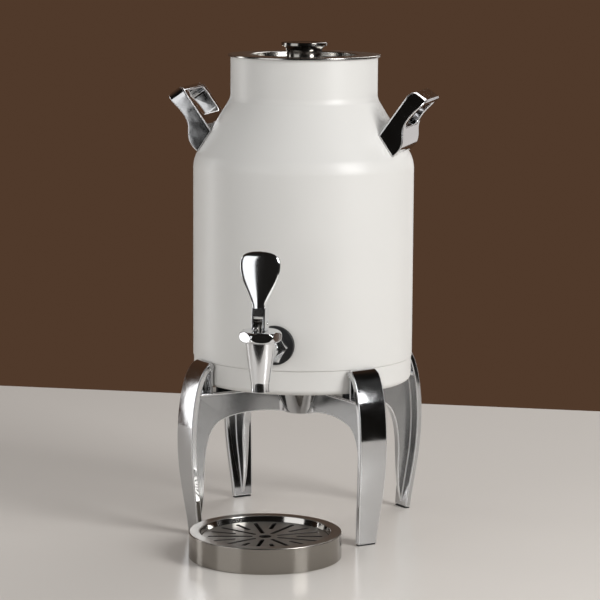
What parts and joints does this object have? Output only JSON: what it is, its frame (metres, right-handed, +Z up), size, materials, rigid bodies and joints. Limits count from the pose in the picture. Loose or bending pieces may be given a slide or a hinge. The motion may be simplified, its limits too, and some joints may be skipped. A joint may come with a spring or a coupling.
{
  "type": "hot water urn",
  "caption": "Insulated churn-shaped hot water urn with a lift-off lid, side handles and a spring tap, resting on a cast stand, with a separate round drip tray.",
  "frame": {"origin": "on the can's axis at the height of the table it stands on", "axes": "+Z up along the can's axis, -Y towards the tap, +X towards the right handle"},
  "size_m": [0.2724, 0.3543, 0.5068],
  "materials": {
    "chrome": "bright mirror chrome plating",
    "foam": "rigid pale insulating foam",
    "lid_steel": "finely turned stainless sheet, mirror floor",
    "paint": "satin warm white stove enamel",
    "polished_steel": "mirror-polished stainless steel",
    "rubber": "matt black rubber",
    "satin_steel": "satin brushed casting",
    "screw_steel": "plain stainless fasteners",
    "silicone": "translucent milky silicone",
    "tank_steel": "plain cold-rolled stainless sheet",
    "tray_steel": "brushed stainless, polished inside"
  },
  "bodies": {
    "stand": {"hub": "chrome", "leg_front_right": "chrome", "leg_back_right": "chrome", "leg_back_left": "chrome", "leg_front_left": "chrome", "hub_screws": "screw_steel", "foot_pads": "rubber", "can_rests": "rubber"},
    "can": {"base_pan": "paint", "outer_shell": "paint", "inner_tank": "tank_steel", "tank_shoulder": "tank_steel", "tank_neck": "tank_steel", "insulation": "foam", "handle_right": "chrome", "handle_left": "chrome", "handle_screws": "screw_steel", "tap_washer": "rubber", "shank_nut": "chrome", "tap_body": "chrome", "inner_washer": "silicone", "lock_nut": "screw_steel", "bonnet": "chrome", "return_spring": "screw_steel"},
    "spindle": {"spindle": "screw_steel", "seat_cup": "silicone"},
    "lever": {"lever": "chrome", "pivot_pin": "screw_steel"},
    "lid": {"lid_top": "lid_steel", "lid_inner_pan": "tank_steel", "lid_seal": "silicone", "lid_knob": "polished_steel", "knob_screw": "screw_steel"},
    "drip_tray": {"drip_tray": "tray_steel"},
    "grille": {"grille": "satin_steel"}
  },
  "joints": [
    {"name": "can_lift", "type": "slide", "parent": "stand", "child": "can", "axis": [0, 0, 1], "range_m": [0, 0.25]},
    {"name": "lid_lift", "type": "slide", "parent": "can", "child": "lid", "axis": [0, 0, 1], "range_m": [0, 0.12]},
    {"name": "spindle_lift", "type": "slide", "parent": "can", "child": "spindle", "axis": [0, 0, 1], "range_m": [0, 0.003], "deforming": ["return_spring"]},
    {"name": "lever_tilt", "type": "hinge", "parent": "spindle", "child": "lever", "pos_m": [0, -0.172, 0.2383], "axis": [1, 0, 0], "range_deg": [0, 30], "stiffness_Nm_per_rad": 0.07, "springref_deg": -48.7},
    {"name": "tray_slide", "type": "slide", "parent": "stand", "child": "drip_tray", "axis": [0, -1, 0], "range_m": [0, 0.15]},
    {"name": "grille_lift", "type": "slide", "parent": "drip_tray", "child": "grille", "axis": [0, 0, 1], "range_m": [0, 0.06]}
  ],
  "couplings": [
    {"joint": "spindle_lift", "follows": "lever_tilt", "m_per_rad": 0.005729}
  ]
}
